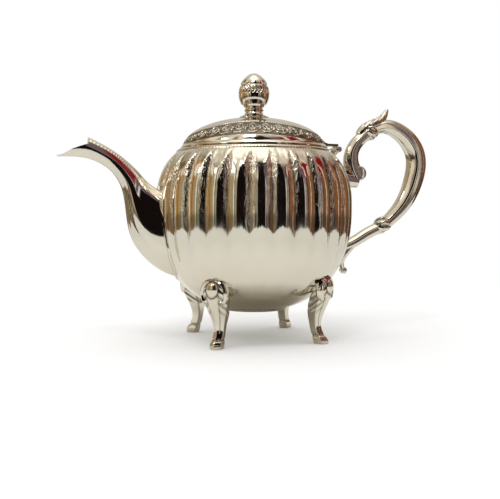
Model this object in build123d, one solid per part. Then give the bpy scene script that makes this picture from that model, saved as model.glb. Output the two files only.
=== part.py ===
from build123d import *
import math
import os

# A polished metal Moroccan teapot: a melon body on four cabriole legs, a swan-neck spout with an open
# beak, a cast C-shaped handle and a domed lid with a turned finial, hinged on the handle side.
# Millimetres, +Z up, the pot's axis on Z, the table at Z = 0, the spout towards -X, the handle towards +X.

# The melon body
BODY_RADIUS = 72.5
BELLY_Z = 97.0
LOBES = 28
LOBE_DEPTH = 3.3
LOBE_SIDES = 6
MELON_LEVELS = (24.0, 32.0, 42.0, 54.0, 68.0, 84.0, 102.0, 117.0, 126.0, 132.0, 137.5)
INNER_LEVELS = (30.0, 42.0, 60.0, 84.0, 108.0, 124.0)
BODY_WALL = 1.3
RIM_Z = 137.5
SLEEVE_WALL = 1.0
SLEEVE_DEPTH = 5.0
MOUTH_RADIUS = 50.0
RING_TOP_Z = 140.0
BASE_Z = 24.0
BASE_HOLE_RADIUS = 24.0
SEAM_Z = 62.0
BASE_THICK = 2.2
PLATE_THICK = 1.6
STRAINER_HOLE_RADIUS = 2.0

# The lid
LID_GAP = 0.3
LID_RIM_RADIUS = 54.4
DOME_RADIUS = 53.0
DOME_HEIGHT = 23.0
LID_WALL = 1.3
FLANGE_RADIUS = 49.4
FLANGE_DEPTH = 6.0
FLANGE_WALL = 1.2

# The hinge
PIN_X = 65.5
PIN_Z = 141.5
PIN_RADIUS = 1.1
PIN_PLAY = 0.05
PIN_HEAD = 0.8
KNUCKLE_RADIUS = 2.3
HINGE_HALF_WIDTH = 7.2
LID_KNUCKLE_HALF_WIDTH = 2.8

# The finial and its fixing
STUD_END_Z = 156.4
STEM_Z = 167.0
CUP_Z = 171.8
CAP_Z = 187.4
FINIAL_TOP_Z = 196.3
STUD_RADIUS = 2.0
WASHER_RADIUS = 6.0
NUT_FLATS = 7.0
NUT_HEIGHT = 3.2
WASHER_THICK = 1.0
PETALS = 12

# How many flat sides stand for a full circle, on the wide turned pieces and on the finial
WIDE_SIDES = 48
FINIAL_SIDES = 32

# The spout and the legs
SPOUT_WALL = 1.4
COLLAR_REACH = 1.8
COLLAR_RISE = 1.1
COLLAR_STATIONS = 5
LEG_ANGLES = {
    "leg_handle_left": 45,
    "leg_spout_left": 135,
    "leg_spout_right": 225,
    "leg_handle_right": 315,
}

LOBE_STEP = 2 * math.pi / LOBES
LID_UNDERSIDE_Z = RING_TOP_Z + LID_GAP
DOME_BASE_Z = RING_TOP_Z + 0.5
DOME_TOP_Z = DOME_BASE_Z + DOME_HEIGHT
WASHER_TOP_Z = DOME_TOP_Z - LID_WALL - 0.15


def at(x, z):
    """A point of the upright X-Z plane, where every profile is drawn."""
    return Vector(x, 0, z)


def polar(radius, angle, z):
    """A point by its distance from the pot's axis, its angle and its height."""
    return Vector(radius * math.cos(angle), radius * math.sin(angle), z)


def distinct(corners):
    """The corners without neighbours that fall together, as they do on the axis."""
    kept = []
    for corner in corners:
        if all((corner - other).length > 1e-6 for other in kept):
            kept.append(corner)
    return kept


def facets(corners):
    """One flat face where four corners lie in a plane, two triangles where they don't, none on a line."""
    corners = distinct(corners)
    if len(corners) < 3:
        return []
    if len(corners) == 3:
        return [Face(Wire.make_polygon(corners, close=True))]
    a, b, c, d = corners
    if abs((b - a).cross(c - a).dot(d - a)) < 1e-6:
        return [Face(Wire.make_polygon(corners, close=True))]
    return facets([a, b, c]) + facets([a, c, d])


def skin(rows, joined=False):
    """A solid whose skin of facets runs from row to row of corners.

    Each row is a closed outline with the same number of corners. The ends are capped, or with joined
    the last row meets the first, as on a ring.
    """
    faces = []
    for low, high in zip(rows, rows[1:] + (rows[:1] if joined else [])):
        for k in range(len(low)):
            n = (k + 1) % len(low)
            faces += facets([low[k], low[n], high[n], high[k]])
    if not joined:
        faces += [Face(Wire.make_polygon(row, close=True)) for row in (rows[0], rows[-1])]
    return Solid(Shell(faces))


def turned(*outline, sides=WIDE_SIDES):
    """A solid of revolution round the pot's axis from the corners (radius, height) of its outline."""
    angles = [2 * math.pi * k / sides for k in range(sides)]
    return skin([[polar(radius, angle, z) for angle in angles] for radius, z in outline], joined=True)


def steps(first, last, count):
    """Evenly spaced values from first to last, both included."""
    return [first + (last - first) * i / (count - 1) for i in range(count)]


def plate(half_width, *points):
    """A flat plate with corners (x, z), as thick as twice half_width across the pot."""
    outline = Face(Wire.make_polygon([at(x, z) for x, z in points], close=True))
    return extrude(outline, amount=half_width, dir=(0, 1, 0), both=True)


def rod_along_y(radius, x, z, y_from, y_to):
    """A round bar that lies across the pot."""
    middle = (y_from + y_to) / 2
    return Pos(x, middle, z) * Rot(90, 0, 0) * Cylinder(radius, y_to - y_from)


def round_bar(radius, z_from, z_to):
    """A round bar on the pot's axis."""
    return Pos(0, 0, (z_from + z_to) / 2) * Cylinder(radius, z_to - z_from)


def egg_radius(z, radius, above, below):
    """Radius of a superellipse: squarer over the belly, rounder towards the foot."""
    rise = z - BELLY_Z
    power = 2.6 if rise > 0 else 2.3
    reach = above if rise > 0 else below
    return radius * (1 - min(abs(rise) / reach, 1.0) ** power) ** (1 / power)


def crest_radius(z):
    return egg_radius(z, BODY_RADIUS, 55.1, 76.5)


def inner_radius(z):
    return egg_radius(z, BODY_RADIUS - LOBE_DEPTH - BODY_WALL, 53.1, 73.8)


def valley_depth(z, offset):
    """Depth of the flute between lobes, offset from 0 at a crest to 1 in a valley.

    The lobes outgrow the egg on the shoulder and at the foot, so every valley ends there in a point.
    """
    above = max(z - 121.0, 0) / 15.0
    below = max(66.0 - z, 0) / 40.0
    outgrowth = LOBE_DEPTH * (above**2 + below**1.7)
    return max(LOBE_DEPTH * abs(offset) ** 2.3 - outgrowth, 0)


def melon_level(z):
    """One level of the melon, with six sides to each lobe."""
    corners = []
    for lobe in range(LOBES):
        for offset in steps(-1, 1, LOBE_SIDES + 1)[:-1]:
            radius = crest_radius(z) - valley_depth(z, offset)
            corners.append(polar(radius, (lobe + offset / 2) * LOBE_STEP, z))
    return corners


def melon():
    """The outside of the body, with its levels closer together where the valleys end."""
    return skin([melon_level(z) for z in MELON_LEVELS])


def smooth_body(grow):
    """The egg that the lobes' crests lie on, grown all round."""
    side = [(crest_radius(z) + grow, z) for z in steps(BASE_Z, RIM_Z, 13)]
    return turned((0, BASE_Z), *side, (0, RIM_Z))


def strainer_holes():
    """Thirteen small eight-sided holes behind the spout, in rows of three and two."""
    hole = RegularPolygon(STRAINER_HOLE_RADIUS, 8)
    holes = []
    for row in range(5):
        across = (-7, 0, 7) if row % 2 == 0 else (-3.5, 3.5)
        holes += [Pos(-80, y, 66 + 7.5 * row) * Rot(0, 90, 0) * extrude(hole, amount=30) for y in across]
    return holes


def body_halves(outside):
    """The body as an open shell, with its mouth, its base hole and the strainer.

    It is raised in two parts, the belly and the bowl of its base, soldered on a level seam.
    """
    floor_z = BASE_Z + BASE_THICK
    side = [(inner_radius(z), z) for z in (floor_z, *INNER_LEVELS, RIM_Z)]
    base_hole = [(0, BASE_Z), (BASE_HOLE_RADIUS, BASE_Z), (BASE_HOLE_RADIUS, floor_z)]
    inside = turned(*base_hole, *side, (0, RIM_Z))
    shell = outside - inside - strainer_holes()
    below = round_bar(2 * BODY_RADIUS, 0, SEAM_Z)
    return shell - below, shell & below


def bottom_plate():
    """The disc that closes the base, with a step that centres it in the body."""
    edge = crest_radius(BASE_Z)
    disc = [(0, BASE_Z - PLATE_THICK), (edge - PLATE_THICK, BASE_Z - PLATE_THICK), (edge, BASE_Z)]
    step = [(BASE_HOLE_RADIUS, BASE_Z), (BASE_HOLE_RADIUS, BASE_Z + PLATE_THICK), (0, BASE_Z + PLATE_THICK)]
    return turned(*disc, *step)


def mouth_ring():
    """The collar soldered on the shoulder, whose sleeve stiffens the mouth."""
    edge = crest_radius(RIM_Z)
    return turned(
        (edge, RIM_Z),
        (edge - 0.5, RIM_Z + 1.2),
        (edge - 1.4, RIM_Z + 2.1),
        (edge - 2.4, RING_TOP_Z),
        (MOUTH_RADIUS, RING_TOP_Z),
        (MOUTH_RADIUS, RIM_Z - SLEEVE_DEPTH),
        (MOUTH_RADIUS + SLEEVE_WALL, RIM_Z - SLEEVE_DEPTH),
        (MOUTH_RADIUS + SLEEVE_WALL, RIM_Z),
    )


def spout_section(station, inset):
    """One cross-section of the spout: a roof ridge, flat cheeks and a ribbed throat."""
    low_x, low_z, high_x, high_z, half_width = station
    low = at(-low_x, low_z)
    high = at(-high_x, high_z)
    middle = (low + high) * 0.5
    upwards = (high - low).normalized()
    reach = (high - low).length / 2 - inset
    side = half_width - inset

    def corner(up, across):
        return middle + upwards * (up * reach) + Vector(0, across * side, 0)

    right = [corner(1, 0), corner(0.72, 0.5), corner(0.18, 0.97), corner(-0.36, 0.92), corner(-0.8, 0.55)]
    left = [Vector(p.X, -p.Y, p.Z) for p in reversed(right[1:])]
    return right + [corner(-1, 0)] + left


# Each station of the spout: underside reach and height, roof reach and height, half width
SPOUT_STATIONS = [
    (52.0, 45.0, 54.0, 106.0, 15.4),
    (66.0, 49.3, 67.0, 109.3, 16.0),
    (80.5, 59.5, 74.5, 112.3, 14.8),
    (91.0, 74.5, 80.0, 116.6, 12.6),
    (95.3, 95.0, 85.0, 122.0, 10.2),
    (98.6, 112.5, 90.5, 127.4, 8.4),
    (104.5, 122.3, 98.0, 133.6, 7.2),
    (112.5, 128.2, 107.0, 139.5, 6.8),
    (121.5, 131.6, 119.5, 145.8, 7.0),
    (131.5, 132.6, 129.5, 148.0, 6.4),
    (142.0, 132.4, 141.5, 146.0, 3.4),
]


def spout_solid(inset, stations=SPOUT_STATIONS):
    """The spout as if it were full, drawn in by inset all round."""
    return skin([spout_section(station, inset) for station in stations])


def spout_shell(outside, full_spout):
    """The hollow spout, seated on the lobes, with its beak cut open above the lip."""
    lip = [(-120.7, 141.6), (-127, 139.5), (-132, 137.6), (-138.3, 134.2), (-150, 131.6)]
    beak_opening = plate(20, (-120.7, 160), *lip, (-150, 160))
    return full_spout - spout_solid(SPOUT_WALL) - outside - beak_opening


def spout_collar(outside, full_spout):
    """The raised seam round the spout's root, following the body's curve."""
    flare = spout_solid(-COLLAR_REACH, SPOUT_STATIONS[:COLLAR_STATIONS])
    return (flare & smooth_body(COLLAR_RISE)) - outside - full_spout


def faceted_section(place, heading, half_thick, half_wide):
    """An eight-sided section square to the path."""
    plane = Plane(origin=place, x_dir=(0, 1, 0), z_dir=heading)
    flat = 1 / math.cos(math.pi / 8)
    angles = [math.pi / 8 + k * math.pi / 4 for k in range(8)]
    section = [(half_wide * flat * math.cos(a), half_thick * flat * math.sin(a)) for a in angles]
    return [plane.from_local_coords(Vector(across, up, 0)) for across, up in section]


def cast_bar(path, sections, half_thick, half_wide):
    """A faceted casting along a path; the half sizes are functions of the way along it, 0 to 1."""
    ways = steps(0, 1, sections)
    return skin([faceted_section(path @ t, path % t, half_thick(t), half_wide(t)) for t in ways])


def swelling(ends, middle, power=1.0):
    """A half size that grows from ends by middle and goes back again, as the way goes from 0 to 1."""
    return lambda t: ends + middle * math.sin(math.pi * t) ** power


def narrowing(first, last):
    """A half size that goes evenly from first to last."""
    return lambda t: first + (last - first) * t


def handle_socket(outside):
    """The short stub on the shoulder that carries the handle's upper end."""
    path = Line(at(66, 120.6), at(83.5, 118.2))
    return cast_bar(path, 2, narrowing(7.0, 5.4), narrowing(6.6, 5.0)) - outside


def handle_branch(socket):
    """The upright S-shaped branch, with the rolled foot that grips the socket."""
    path = Spline([at(83.0, 120.5), at(78.9, 129.5), at(78.6, 138.5), at(83.0, 147.2), at(91.0, 154.2)])
    branch = cast_bar(path, 7, lambda t: 6.9 - 2.4 * math.sin(math.pi * t / 2), narrowing(5.4, 4.8))
    foot = rod_along_y(5.6, 84.0, 123.8, -5.0, 5.0)
    return branch + foot - socket


def handle_collar():
    """The knuckle between the branch and the grip."""
    path = Line(at(90.5, 153.8), at(97.5, 158.4))
    return cast_bar(path, 5, swelling(5.4, 1.4), swelling(5.2, 1.3))


GRIP_PATH = [(96.5, 157.8), (106.6, 160.6), (117.5, 157.6), (127.4, 150.0), (133.2, 140.6), (134.5, 131.0)]
GRIP_PATH += [(132.2, 119.0), (127.4, 107.0), (119.6, 95.8), (107.6, 84.6)]


def handle_grip(collar):
    """The big C, thickest where the hand closes on it."""
    path = Spline([at(x, z) for x, z in GRIP_PATH])
    return cast_bar(path, 13, swelling(4.6, 2.9, 1.3), swelling(4.8, 2.7)) - collar


def handle_leaf(*below):
    """The acanthus leaf on top of the grip, whose curled tip is the thumb rest."""
    path = Spline([at(84.5, 154.0), at(90.0, 160.4), at(98.0, 164.4), at(104.6, 168.6), at(108.8, 174.0)])
    thick = swelling(2.2, 2.6, 0.7)
    wide = swelling(3.2, 2.6)
    leaf = cast_bar(path, 8, lambda t: thick(t) - t, lambda t: wide(t) - 1.6 * t)
    for piece in below:
        leaf = leaf - piece
    return max(leaf.solids(), key=lambda solid: solid.volume)


def handle_knuckle(grip):
    """The ball-like node low on the handle, where the grip meets the lower arm."""
    path = Line(at(110.5, 87.4), at(100.6, 80.6))
    return cast_bar(path, 5, swelling(4.6, 1.7), swelling(4.6, 1.6)) - grip


def handle_arm(outside, knuckle):
    """The lower arm to the body, with a thin tail that ends in a scroll."""
    arm_path = Spline([at(101.8, 81.4), at(92.0, 77.0), at(81.0, 70.8), at(68.0, 66.0)])
    arm = cast_bar(arm_path, 5, narrowing(4.4, 4.0), narrowing(4.6, 4.4))
    tail_path = Spline([at(79.5, 69.0), at(74.0, 62.0), at(70.9, 55.4), at(71.6, 49.8)])
    tail = cast_bar(tail_path, 5, narrowing(3.4, 1.6), narrowing(3.8, 2.4))
    scroll = rod_along_y(2.7, 72.3, 48.8, -2.6, 2.6)
    return arm + tail + scroll - knuckle - outside


# Each level of a leg: height, reach of its middle from the axis, half depth and half width
LEG_LEVELS = [
    (0.0, 55.4, 5.6, 4.6),
    (2.2, 55.0, 6.0, 5.0),
    (5.0, 53.2, 4.6, 4.0),
    (10.0, 51.0, 3.7, 3.6),
    (16.0, 50.2, 4.1, 4.2),
    (22.0, 51.2, 5.4, 6.0),
    (30.0, 53.8, 6.6, 8.6),
    (38.0, 56.4, 6.2, 9.8),
    (44.0, 57.4, 4.6, 8.0),
    (48.0, 58.0, 2.6, 4.0),
]


# The outline of every level of a leg, from its front crest round its right side, in half depths and widths
LEG_OUTLINE = [(1.0, 0), (0.5, 0.86), (-0.4, 1.0), (-1.0, 0.5), (-1.0, -0.5), (-0.4, -1.0), (0.5, -0.86)]


def leg(outside, angle):
    """A cabriole leg: a crest down its front, a broad knee on the body and a turned-out toe."""
    rows = []
    for z, reach, depth, width in LEG_LEVELS:
        rows.append([Vector(reach + depth * a, width * b, z) for a, b in LEG_OUTLINE])
    return Rot(0, 0, angle) * skin(rows) - outside


def dome_side(radius, height, base_z, bands):
    """Corners of a quarter of an ellipse, from the rim up to the axis."""
    return [(radius * math.cos(a), base_z + height * math.sin(a)) for a in steps(0, math.pi / 2, bands + 1)]


def filled_dome():
    """The lid's outside, with a rolled rim under the dome."""
    rim = [
        (LID_RIM_RADIUS, LID_UNDERSIDE_Z),
        (LID_RIM_RADIUS, LID_UNDERSIDE_Z + 1.5),
        (LID_RIM_RADIUS - 0.5, LID_UNDERSIDE_Z + 2.3),
        (LID_RIM_RADIUS - 1.6, LID_UNDERSIDE_Z + 2.9),
    ]
    dome = [(r, z) for r, z in dome_side(DOME_RADIUS, DOME_HEIGHT, DOME_BASE_Z, 10) if z > rim[-1][1]]
    return turned((0, LID_UNDERSIDE_Z), *rim, *dome)


def lid_dome(outside):
    """The thin dome, hollow underneath, with the finial's hole and its flat seat."""
    base_z = LID_UNDERSIDE_Z + FLANGE_WALL
    radius = DOME_RADIUS - LID_WALL
    side = dome_side(radius, DOME_TOP_Z - LID_WALL - base_z, base_z, 6)[:-1]
    seat = [(WASHER_RADIUS + 0.2, WASHER_TOP_Z), (0, WASHER_TOP_Z)]
    hollow = turned((0, LID_UNDERSIDE_Z), (radius, LID_UNDERSIDE_Z), *side, *seat)
    return outside - hollow - round_bar(STUD_RADIUS, LID_UNDERSIDE_Z, FINIAL_TOP_Z)


def lid_flange():
    """The ring soldered under the dome, which centres the lid in the mouth."""
    lip_radius = DOME_RADIUS - LID_WALL
    return turned(
        (FLANGE_RADIUS - FLANGE_WALL, LID_UNDERSIDE_Z - FLANGE_DEPTH),
        (FLANGE_RADIUS, LID_UNDERSIDE_Z - FLANGE_DEPTH),
        (FLANGE_RADIUS, LID_UNDERSIDE_Z),
        (lip_radius, LID_UNDERSIDE_Z),
        (lip_radius, LID_UNDERSIDE_Z + FLANGE_WALL),
        (FLANGE_RADIUS - FLANGE_WALL, LID_UNDERSIDE_Z + FLANGE_WALL),
    )


def hinge_bracket(outside):
    """The upright on the shoulder, forked round the lid's knuckle."""
    web = plate(HINGE_HALF_WIDTH, (63.6, 127.8), (67.4, 127.8), (67.1, PIN_Z), (63.9, PIN_Z))
    knuckles = rod_along_y(KNUCKLE_RADIUS, PIN_X, PIN_Z, -HINGE_HALF_WIDTH, HINGE_HALF_WIDTH)
    slot_half_width = LID_KNUCKLE_HALF_WIDTH + LID_GAP
    slot = Pos(PIN_X, 0, PIN_Z + 2) * Box(12, 2 * slot_half_width, 13)
    bore = rod_along_y(PIN_RADIUS, PIN_X, PIN_Z, -10, 10)
    return web + knuckles - slot - bore - outside


def hinge_pin():
    """The pin, fast in the bracket, with peened ends."""
    pin = rod_along_y(PIN_RADIUS, PIN_X, PIN_Z, -HINGE_HALF_WIDTH, HINGE_HALF_WIDTH)
    far = HINGE_HALF_WIDTH + PIN_HEAD
    head_radius = PIN_RADIUS + 0.5
    left_head = rod_along_y(head_radius, PIN_X, PIN_Z, -far, -HINGE_HALF_WIDTH)
    right_head = rod_along_y(head_radius, PIN_X, PIN_Z, HINGE_HALF_WIDTH, far)
    return pin + left_head + right_head


def lid_hinge_leaf(dome_outside):
    """The strap from the dome to the middle knuckle, broad on the lid and narrow at the pin."""
    top = [(66.6, 145.8), (58, 145.8), (55, 146.6), (50.5, 149.9), (46.5, 152.6)]
    strap = plate(8, *top, (46, 145), (53, 141), (57, 144.2), (66.6, 144.2))
    plan = Face(Wire.make_polygon([(67, -2.8, 0), (67, 2.8, 0), (46, 6.2, 0), (46, -6.2, 0)], close=True))
    tapered = strap & extrude(plan, amount=200)
    knuckle = rod_along_y(KNUCKLE_RADIUS, PIN_X, PIN_Z, -LID_KNUCKLE_HALF_WIDTH, LID_KNUCKLE_HALF_WIDTH)
    neck = plate(LID_KNUCKLE_HALF_WIDTH, (64.0, PIN_Z), (66.6, PIN_Z), (66.6, 145), (64.0, 145))
    bore = rod_along_y(PIN_RADIUS + PIN_PLAY, PIN_X, PIN_Z, -10, 10)
    return tapered + knuckle + neck - bore - dome_outside


def knob_rosette(dome_outside):
    """The flared foot of the finial, its edge drawn in between the petals."""
    neck = 6.8
    flare = [(10.4, 162), (11.2, 163.9), (9.0, 164.8), (7.4, 166.0), (neck, STEM_Z)]
    rows = []
    for radius, z in [(0, 162), *flare, (0, STEM_Z)]:
        notch = 0.3 * max(radius - neck, 0)
        radii = [radius, radius - notch] * PETALS
        rows.append([polar(r, k * math.pi / PETALS, z) for k, r in enumerate(radii)])
    return skin(rows, joined=True) - dome_outside - round_bar(STUD_RADIUS, LID_UNDERSIDE_Z, FINIAL_TOP_Z)


def knob_stem():
    """The waisted stem with its ring, bored for the stud."""
    waist = [(6.8, STEM_Z), (6.4, STEM_Z + 1.2), (7.3, STEM_Z + 2.1), (6.4, STEM_Z + 3.1), (7.2, CUP_Z)]
    solid = turned((0, STEM_Z), *waist, (0, CUP_Z), sides=FINIAL_SIDES)
    return solid - round_bar(STUD_RADIUS, STEM_Z, CUP_Z)


def knob_cup():
    """The lower half of the acorn, stepped above the stem, bored for the stud."""
    step = [(7.6, CUP_Z), (8.2, 173.2), (9.3, 173.6)]
    swell = [(10.5, 176.0), (11.3, 179.0), (11.3, 182.4), (10.8, 185.2), (9.8, CAP_Z)]
    solid = turned((0, CUP_Z), *step, *swell, (0, CAP_Z), sides=FINIAL_SIDES)
    return solid - round_bar(STUD_RADIUS, CUP_Z, CAP_Z)


def knob_cap():
    """The pointed cap above the groove."""
    side = [(9.1, CAP_Z), (9.8, 188.4), (9.0, 190.2), (7.2, 192.3), (4.8, 194.4), (2.2, 195.8)]
    return turned((0, CAP_Z), *side, (0, FINIAL_TOP_Z), sides=FINIAL_SIDES)


def knob_stud():
    """The rod that holds the finial together, from the cup down through the dome."""
    return round_bar(STUD_RADIUS, STUD_END_Z, CAP_Z)


def knob_washer():
    """The washer under the dome."""
    low = WASHER_TOP_Z - WASHER_THICK
    return round_bar(WASHER_RADIUS, low, WASHER_TOP_Z) - round_bar(STUD_RADIUS, low, WASHER_TOP_Z)


def knob_nut():
    """The hexagon nut inside the lid."""
    low = WASHER_TOP_Z - WASHER_THICK - NUT_HEIGHT
    hexagon = extrude(RegularPolygon(NUT_FLATS / 2, 6, major_radius=False), amount=NUT_HEIGHT)
    return Pos(0, 0, low) * hexagon - round_bar(STUD_RADIUS, low, WASHER_TOP_Z)


def build():
    """Every piece of the teapot by name."""
    outside = melon()
    full_spout = spout_solid(0)
    dome_outside = filled_dome()
    belly, bowl = body_halves(outside)
    pieces = {
        "body_shell": belly,
        "body_base": bowl,
        "bottom_plate": bottom_plate(),
        "mouth_ring": mouth_ring(),
        "spout_shell": spout_shell(outside, full_spout),
        "spout_collar": spout_collar(outside, full_spout),
        "handle_socket": handle_socket(outside),
        "handle_collar": handle_collar(),
        "hinge_bracket": hinge_bracket(outside),
        "hinge_pin": hinge_pin(),
        "lid_dome": lid_dome(dome_outside),
        "lid_flange": lid_flange(),
        "lid_hinge_leaf": lid_hinge_leaf(dome_outside),
        "knob_rosette": knob_rosette(dome_outside),
        "knob_stem": knob_stem(),
        "knob_cup": knob_cup(),
        "knob_cap": knob_cap(),
        "knob_stud": knob_stud(),
        "knob_washer": knob_washer(),
        "knob_nut": knob_nut(),
    }
    branch = handle_branch(pieces["handle_socket"]) - pieces["handle_collar"]
    pieces["handle_branch"] = branch
    pieces["handle_grip"] = handle_grip(pieces["handle_collar"])
    pieces["handle_leaf"] = handle_leaf(pieces["handle_grip"], pieces["handle_collar"], branch)
    pieces["handle_knuckle"] = handle_knuckle(pieces["handle_grip"])
    pieces["handle_arm"] = handle_arm(outside, pieces["handle_knuckle"])
    for name, angle in LEG_ANGLES.items():
        pieces[name] = leg(outside, angle)
    return pieces


os.makedirs("parts", exist_ok=True)
for name, piece in build().items():
    export_step(piece, f"parts/{name}.step")
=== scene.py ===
# %% [markdown]
# A polished Moroccan teapot.
# The pot has a melon body raised in lobes, a swan-neck spout, a cast handle, four cabriole legs and a
# hinged lid with a chased band of flowers and a finial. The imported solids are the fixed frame: every
# piece made here sits in their place, in metres, and rides on the body "pot" or the body "lid".

# %% load the frame
import math

import bmesh
import bpy
import numpy as np
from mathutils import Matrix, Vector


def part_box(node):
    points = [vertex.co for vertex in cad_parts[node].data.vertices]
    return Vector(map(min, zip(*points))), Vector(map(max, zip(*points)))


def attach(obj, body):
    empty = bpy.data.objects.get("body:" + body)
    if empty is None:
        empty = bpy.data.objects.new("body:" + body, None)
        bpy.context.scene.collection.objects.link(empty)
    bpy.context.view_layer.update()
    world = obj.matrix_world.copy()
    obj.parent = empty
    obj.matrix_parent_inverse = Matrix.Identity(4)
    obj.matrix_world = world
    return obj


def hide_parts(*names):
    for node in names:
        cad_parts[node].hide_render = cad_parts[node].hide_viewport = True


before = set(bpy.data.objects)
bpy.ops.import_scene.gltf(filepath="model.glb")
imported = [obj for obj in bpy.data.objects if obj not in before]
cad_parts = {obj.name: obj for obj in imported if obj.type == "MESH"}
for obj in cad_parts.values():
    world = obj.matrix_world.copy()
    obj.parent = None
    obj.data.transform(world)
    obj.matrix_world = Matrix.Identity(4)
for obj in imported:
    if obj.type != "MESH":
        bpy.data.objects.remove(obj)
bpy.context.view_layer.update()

print("nodes in the frame:", len(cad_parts))

# %% [markdown]
# Everything below is drawn in millimetres, the unit of the workshop, and turned into metres only when
# a mesh is made. A surface is a grid of points: one index runs round the piece, the other along it.
# Faces could be pushed about by hand, but a formula on a grid gives even quads, and a number can be
# changed later without drawing the piece again.

# %% grid surfaces
MM = 0.001
CREASE = math.radians(38)
MERGE_WITHIN = 2e-6
SLIVER = 1e-7


def surface(name, points, round_wrap=True, along_wrap=False, **marks):
    """A mesh from points of shape (around, along, 3) in mm; quads join each point to its neighbours.

    Marks, such as sunk or dented, are values from 0 to 1 at each point, kept for the finish.
    """
    around, along = points.shape[:2]
    i = np.arange(around if round_wrap else around - 1)[:, None]
    j = np.arange(along if along_wrap else along - 1)[None, :]
    i_next = (i + 1) % around
    j_next = (j + 1) % along
    quads = np.stack([i * along + j, i_next * along + j, i_next * along + j_next, i * along + j_next], -1)
    quads = quads.reshape(-1, 4)
    mesh = bpy.data.meshes.new(name)
    mesh.vertices.add(around * along)
    mesh.vertices.foreach_set("co", (points * MM).astype(np.float32).ravel())
    mesh.loops.add(quads.size)
    mesh.loops.foreach_set("vertex_index", quads.astype(np.int32).ravel())
    mesh.polygons.add(len(quads))
    mesh.polygons.foreach_set("loop_start", np.arange(0, quads.size, 4, dtype=np.int32))
    mesh.update(calc_edges=True)
    for mark, values in marks.items():
        layer = mesh.attributes.new(mark, "FLOAT", "POINT")
        layer.data.foreach_set("value", values.astype(np.float32).ravel())
    return tidy(mesh)


def tidy(mesh):
    """Merge the doubles at seams and poles, turn the faces outwards and keep only the real creases sharp."""
    work = bmesh.new()
    work.from_mesh(mesh)
    bmesh.ops.remove_doubles(work, verts=work.verts, dist=MERGE_WITHIN)
    bmesh.ops.dissolve_degenerate(work, edges=work.edges, dist=SLIVER)
    bmesh.ops.recalc_face_normals(work, faces=work.faces)
    work.to_mesh(mesh)
    work.free()
    mesh.polygons.foreach_set("use_smooth", np.ones(len(mesh.polygons), dtype=bool))
    mesh.set_sharp_from_angle(angle=CREASE)
    return mesh


def piece(name, meshes, body, material, *nodes, slot="silver_plate"):
    """One object from one or more meshes, riding on a body and standing for the named nodes."""
    work = bmesh.new()
    for mesh in meshes:
        work.from_mesh(mesh)
    joined = bpy.data.meshes.new(name)
    work.to_mesh(joined)
    work.free()
    for mesh in meshes:
        bpy.data.meshes.remove(mesh)
    joined.materials.append(material)
    thing = bpy.data.objects.new(name, joined)
    bpy.context.scene.collection.objects.link(thing)
    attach(thing, body)
    if nodes:
        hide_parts(*nodes)
    print(name, "faces:", len(joined.polygons))


print("edges sharper than", round(math.degrees(CREASE)), "degrees stay sharp")

# %% [markdown]
# Two sorts of shape come back all over the pot. Turned parts are a profile carried round the axis, and
# cast parts are a section carried along a curved path. Both could be a curve object with a bevel, but a
# section here may change its thickness on the way and carry a relief, so it is worked out as points.

# %% curves and sections
def smooth_path(corners, count):
    """A natural cubic curve through the corners, at count even steps, with chord lengths as its clock."""
    corners = np.asarray(corners, float)
    clock = np.r_[0, np.cumsum(np.linalg.norm(np.diff(corners[:, :2], axis=0), axis=1))]
    gap = np.diff(clock)
    n = len(corners)
    system = np.eye(n)
    inner = np.arange(1, n - 1)
    system[inner, inner - 1] = gap[:-1]
    system[inner, inner] = 2 * (gap[:-1] + gap[1:])
    system[inner, inner + 1] = gap[1:]
    slope = np.diff(corners, axis=0) / gap[:, None]
    right = np.zeros_like(corners)
    right[1:-1] = 6 * np.diff(slope, axis=0)
    bend = np.linalg.solve(system, right)
    t = np.linspace(0, clock[-1], count)
    k = np.clip(np.searchsorted(clock, t, side="right") - 1, 0, n - 2)
    a = ((clock[k + 1] - t) / gap[k])[:, None]
    b = 1 - a
    h2 = (gap[k] ** 2)[:, None] / 6
    return a * corners[k] + b * corners[k + 1] + ((a**3 - a) * bend[k] + (b**3 - b) * bend[k + 1]) * h2


def step_up(x, low, high):
    """0 below low, 1 above high, with a smooth rise between."""
    t = np.clip((x - low) / (high - low), 0, 1)
    return t * t * (3 - 2 * t)


def ripple(x):
    """Soft ridges: 0 at every whole turn of x and 1 half-way between them."""
    return 0.5 - 0.5 * np.cos(x)


def bell(x, middle, width):
    """A narrow hump: 1 in the middle, nearly 0 at two widths from it."""
    return np.exp(-(((x - middle) / width) ** 2))


def turns(around):
    """Even angles once round, as a column, so that a row of steps along a piece multiplies out."""
    return np.linspace(0, 2 * math.pi, around, endpoint=False)[:, None]


def round_axis(radius, height, angle):
    """Points round the pot's axis: x is radius times cosine, y is radius times sine, z is height."""
    return np.stack(np.broadcast_arrays(radius * np.cos(angle), radius * np.sin(angle), height), -1)


def soft_polygon(angle, faces, crisp):
    """Radius of a rounded polygon: one over the p-norm of cos(angle - face) / distance over its faces."""
    total = 0
    for face, distance in faces:
        total = total + np.maximum(np.cos(angle - face) / distance, 0) ** crisp
    return total ** (-1 / crisp)


def regular_faces(sides):
    """The faces of a regular polygon: even angles, each at distance 1."""
    return [(2 * math.pi * k / sides, 1.0) for k in range(sides)]


def sections(middle, upwards, up, across):
    """Sections on a middle line in the pot's upright plane: up goes its own way, across is along y."""
    x = middle[:, 0] + up * upwards[:, 0]
    z = middle[:, 1] + up * upwards[:, 1]
    return np.stack([x, across, z], -1)


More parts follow.
